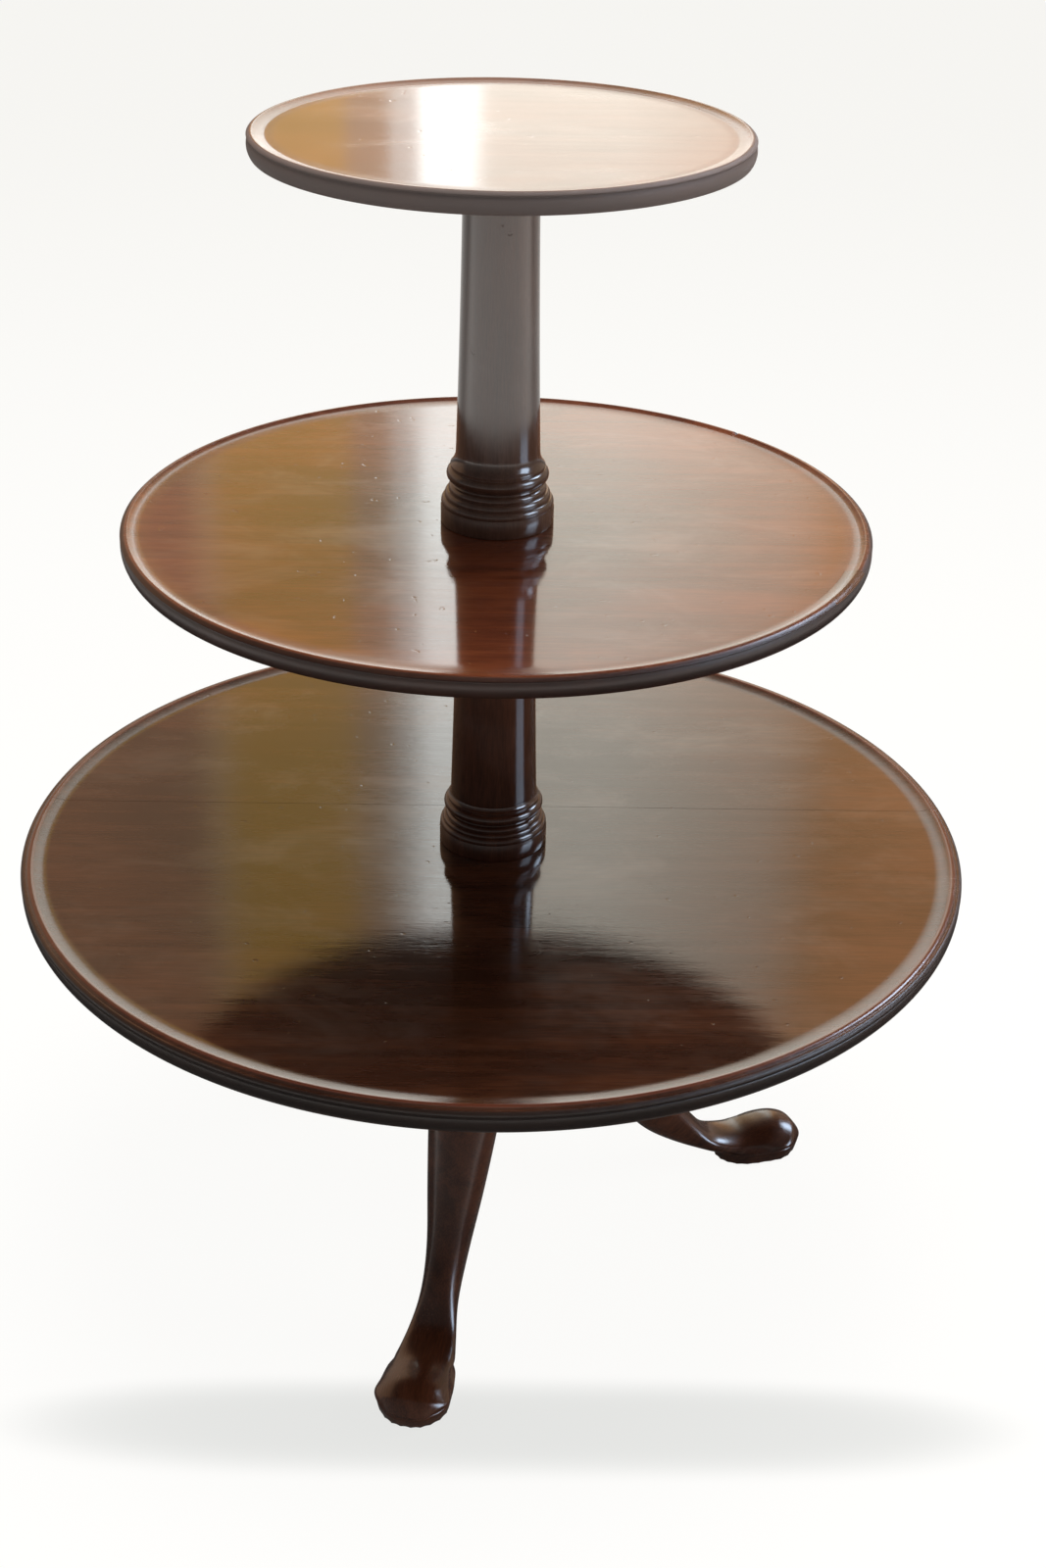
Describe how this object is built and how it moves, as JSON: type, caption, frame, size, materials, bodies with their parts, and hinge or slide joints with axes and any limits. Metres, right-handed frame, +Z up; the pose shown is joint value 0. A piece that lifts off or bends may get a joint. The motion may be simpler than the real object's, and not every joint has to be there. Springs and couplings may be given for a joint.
{
  "type": "tiered serving stand",
  "caption": "Tiered wooden serving stand: round dished trays that turn on a stacked column of turned sections, carried on splayed cabriole legs with pad feet.",
  "frame": {"origin": "on the floor under the column's axis, which is the centre of the bounding box's bottom", "axes": "+Z up along the column that the trays turn on, -Y towards the viewer in the picture, +X to the viewer's right"},
  "size_m": [0.749, 0.749, 0.932],
  "materials": {
    "lower_tray_wood": "french polish, worn",
    "middle_tray_wood": "french polish, worn",
    "top_tray_wood": "french polish, worn",
    "patch_wood": "french polish",
    "column_wood": "french polish",
    "pillar_wood": "french polish",
    "leg_wood": "french polish",
    "block_wood": "waxed, unpolished",
    "glide_wood": "worn, dark",
    "bracket_iron": "forged, dull",
    "screw_steel": "aged"
  },
  "bodies": {
    "base": {"pillar": "pillar_wood", "front_leg": "leg_wood", "right_leg": "leg_wood", "back_leg": "leg_wood", "foot_glides": "glide_wood", "leg_bracket": "bracket_iron", "bracket_screws": "screw_steel", "lower_column": "column_wood", "upper_column": "column_wood"},
    "lower_tray": {"lower_tray_front_board": "lower_tray_wood", "lower_tray_back_board": "lower_tray_wood", "lower_tray_block": "block_wood", "lower_block_screws": "screw_steel"},
    "middle_tray": {"middle_tray": "middle_tray_wood", "middle_lip_patch": "patch_wood", "middle_tray_block": "block_wood", "middle_block_screws": "screw_steel"},
    "top_tray": {"top_tray": "top_tray_wood", "top_tray_block": "block_wood", "top_block_screws": "screw_steel"}
  },
  "joints": [
    {"name": "lower_tray_turn", "type": "hinge", "parent": "base", "child": "lower_tray", "pos_m": [0, 0, 0.345], "axis": [0, 0, 1], "continuous": true},
    {"name": "middle_tray_turn", "type": "hinge", "parent": "base", "child": "middle_tray", "pos_m": [0, 0, 0.625], "axis": [0, 0, 1], "continuous": true},
    {"name": "top_tray_turn", "type": "hinge", "parent": "base", "child": "top_tray", "pos_m": [0, 0, 0.905], "axis": [0, 0, 1], "continuous": true}
  ]
}
